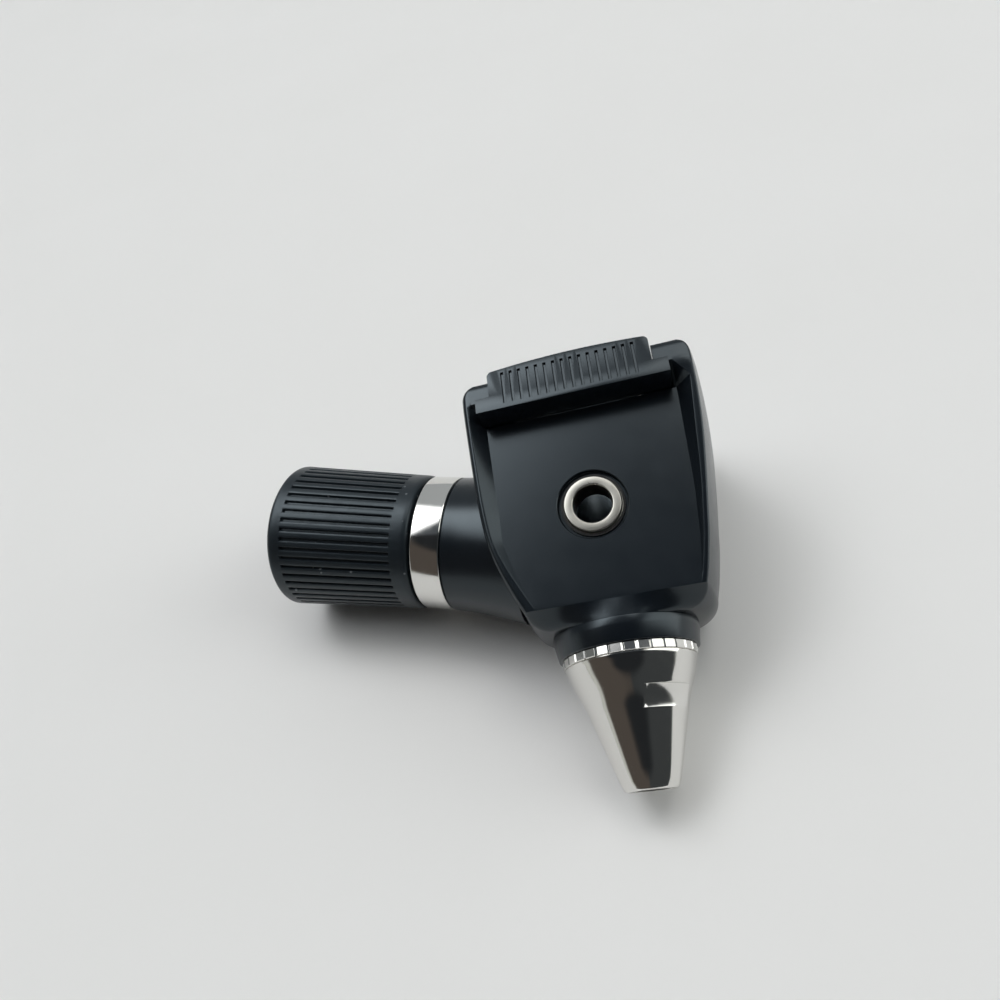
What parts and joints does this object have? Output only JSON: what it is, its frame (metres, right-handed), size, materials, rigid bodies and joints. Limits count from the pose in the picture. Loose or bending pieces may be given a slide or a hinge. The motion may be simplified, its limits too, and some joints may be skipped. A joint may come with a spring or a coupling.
{
  "type": "otoscope head",
  "caption": "Otoscope head with a ribbed bayonet collar, polished band, flat-sided black housing, sliding magnifier, air port and metal cone tip for ear specula.",
  "frame": {"origin": "centre of the handle socket's mouth", "axes": "+X along the neck from the socket into the head; +Z out of the side with the air port, which faces up as the head lies on its side; the tip points towards -Y and the magnifier towards +Y"},
  "size_m": [0.0651, 0.0587, 0.0314],
  "materials": {
    "housing_black": "satin moulded black",
    "collar_black": "satin moulded black, ribbed",
    "frame_black": "satin moulded black",
    "tip_nickel": "polished nickel plate on brass",
    "band_nickel": "polished nickel plate",
    "port_nickel": "satin nickel plate",
    "socket_metal": "nickel plate, dull",
    "tube_metal": "turned",
    "brass": "turned",
    "screw_steel": "plain",
    "fibre": "fused glass fibres, polished",
    "fibre_epoxy": "cast",
    "insulator": "plain",
    "contact_metal": "solder tip",
    "lamp_glass": "clear",
    "filament": "tungsten",
    "seal_rubber": "matt",
    "lens_glass": "clear, polished"
  },
  "bodies": {
    "head": {"housing": "housing_black", "nose_collar": "housing_black", "tip_cone": "tip_nickel", "tip_ring": "tip_nickel", "tip_nut": "brass", "sight_tube": "socket_metal", "fibre_ring": "fibre", "fibre_manifold": "fibre_epoxy", "fibre_bundle": "fibre", "fibre_ferrule": "brass", "neck_tube": "tube_metal", "neck_band": "band_nickel", "neck_screws": "screw_steel", "grip_collar": "collar_black", "socket_ring": "socket_metal", "lamp_sleeve": "tube_metal", "air_port": "port_nickel", "air_port_seal": "seal_rubber", "window_seal": "seal_rubber"},
    "lens_slider": {"lens_frame": "frame_black", "lens": "lens_glass", "lens_bezel": "frame_black"},
    "lamp": {"lamp_base": "brass", "lamp_insulator": "insulator", "lamp_contact": "contact_metal", "lamp_glass": "lamp_glass", "lamp_filament": "filament"}
  },
  "joints": [
    {"name": "lens_slide", "type": "slide", "parent": "head", "child": "lens_slider", "axis": [0, 0, 1], "range_m": [-0.013, 0.013]},
    {"name": "lamp_pull", "type": "slide", "parent": "head", "child": "lamp", "axis": [-1, 0, 0], "range_m": [0, 0.03]}
  ]
}
